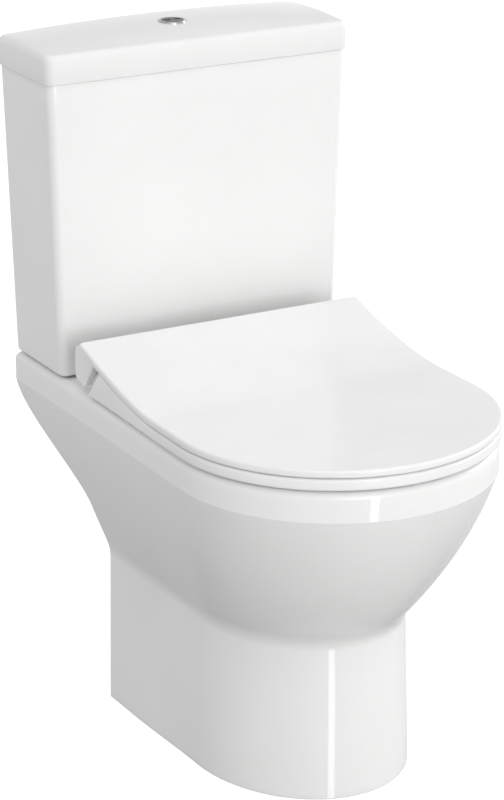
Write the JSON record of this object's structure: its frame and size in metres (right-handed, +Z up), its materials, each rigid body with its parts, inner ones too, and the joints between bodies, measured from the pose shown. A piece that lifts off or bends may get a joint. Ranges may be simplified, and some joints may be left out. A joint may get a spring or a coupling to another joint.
{
  "type": "close coupled toilet",
  "caption": "Close coupled toilet with an open-back pan, a cistern with a lift-off lid, a slim seat and cover, a two-part flush button and working valves inside.",
  "frame": {"origin": "on the floor, midway between the wall side and the front edge, and midway between the sides", "axes": "+X to the right as one faces the toilet, +Y towards the wall, +Z up"},
  "size_m": [0.38, 0.6, 0.7791],
  "materials": {
    "ceramic": "gloss",
    "seat_plastic": "gloss",
    "soft_rubber": "matte",
    "chrome": "gloss",
    "steel": "satin",
    "brass": "satin",
    "black_rubber": "matte",
    "red_rubber": "matte",
    "white_plastic": "satin",
    "grey_plastic": "satin",
    "blue_plastic": "satin"
  },
  "bodies": {
    "toilet": {"pan": "ceramic", "cistern": "ceramic", "hinge_post_left": "chrome", "hinge_post_right": "chrome", "hinge_pin_left": "steel", "hinge_pin_right": "steel", "seat_bolts": "steel", "seat_washers": "black_rubber", "seat_wing_nuts": "white_plastic", "doughnut_gasket": "black_rubber", "coupling_bolts": "brass", "coupling_rubber_washers": "black_rubber", "coupling_metal_washers": "steel", "coupling_wing_nuts": "brass", "flush_valve_base": "white_plastic", "flush_base_washer": "black_rubber", "flush_lock_nut": "white_plastic", "flush_valve_tower": "white_plastic", "fill_valve_body": "white_plastic", "fill_valve_washer": "black_rubber", "fill_valve_lock_nut": "white_plastic", "floor_screw_sleeves": "white_plastic"},
    "seat_ring_group": {"seat_ring": "seat_plastic", "ring_bumpers": "soft_rubber"},
    "seat_cover_group": {"seat_cover": "seat_plastic", "cover_bumpers": "soft_rubber"},
    "lid_group": {"cistern_lid": "ceramic", "button_bezel": "chrome", "button_lock_nut": "white_plastic"},
    "full_button_group": {"full_flush_button": "chrome", "full_push_rod": "white_plastic"},
    "half_button_group": {"half_flush_button": "chrome", "half_push_rod": "white_plastic"},
    "full_lever_group": {"full_flush_lever": "blue_plastic"},
    "half_lever_group": {"half_flush_lever": "blue_plastic"},
    "tube_group": {"overflow_tube": "grey_plastic", "flush_seal": "red_rubber"},
    "float_group": {"float": "grey_plastic", "float_link": "white_plastic"},
    "fill_lever_group": {"fill_valve_lever": "blue_plastic"}
  },
  "joints": [
    {"name": "ring_lift", "type": "hinge", "parent": "toilet", "child": "seat_ring_group", "pos_m": [0, 0.125, 0.43], "axis": [1, 0, 0], "range_deg": [-94, 0]},
    {"name": "cover_lift", "type": "hinge", "parent": "seat_ring_group", "child": "seat_cover_group", "pos_m": [0, 0.125, 0.43], "axis": [-1, 0, 0], "range_deg": [0, 96]},
    {"name": "lid_lift", "type": "slide", "parent": "toilet", "child": "lid_group", "axis": [0, 0, 1], "range_m": [0, 0.12]},
    {"name": "full_flush_press", "type": "slide", "parent": "lid_group", "child": "full_button_group", "axis": [0, 0, 1], "range_m": [-0.008, 0], "stiffness_N_per_m": 200, "springref_m": 0.005},
    {"name": "half_flush_press", "type": "slide", "parent": "lid_group", "child": "half_button_group", "axis": [0, 0, 1], "range_m": [-0.008, 0], "stiffness_N_per_m": 200, "springref_m": 0.005},
    {"name": "full_lever_rock", "type": "hinge", "parent": "toilet", "child": "full_lever_group", "pos_m": [-0.02, 0.238, 0.696], "axis": [0, 1, 0], "range_deg": [0, 36.8]},
    {"name": "half_lever_rock", "type": "hinge", "parent": "toilet", "child": "half_lever_group", "pos_m": [0.02, 0.238, 0.696], "axis": [0, -1, 0], "range_deg": [0, 36.8]},
    {"name": "tube_lift", "type": "slide", "parent": "toilet", "child": "tube_group", "axis": [0, 0, 1], "range_m": [0, 0.0109]},
    {"name": "float_rise", "type": "slide", "parent": "toilet", "child": "float_group", "axis": [0, 0, 1], "range_m": [0, 0.04]},
    {"name": "fill_lever_rock", "type": "hinge", "parent": "toilet", "child": "fill_lever_group", "pos_m": [0.118, 0.238, 0.699], "axis": [0, 1, 0], "range_deg": [0, 50.1]}
  ],
  "couplings": [
    {"joint": "full_lever_rock", "follows": "full_flush_press", "rad_per_m": -80},
    {"joint": "tube_lift", "follows": "full_flush_press", "ratio": -1.35},
    {"joint": "half_lever_rock", "follows": "half_flush_press", "rad_per_m": -80},
    {"joint": "fill_lever_rock", "follows": "float_rise", "rad_per_m": 21.8}
  ]
}
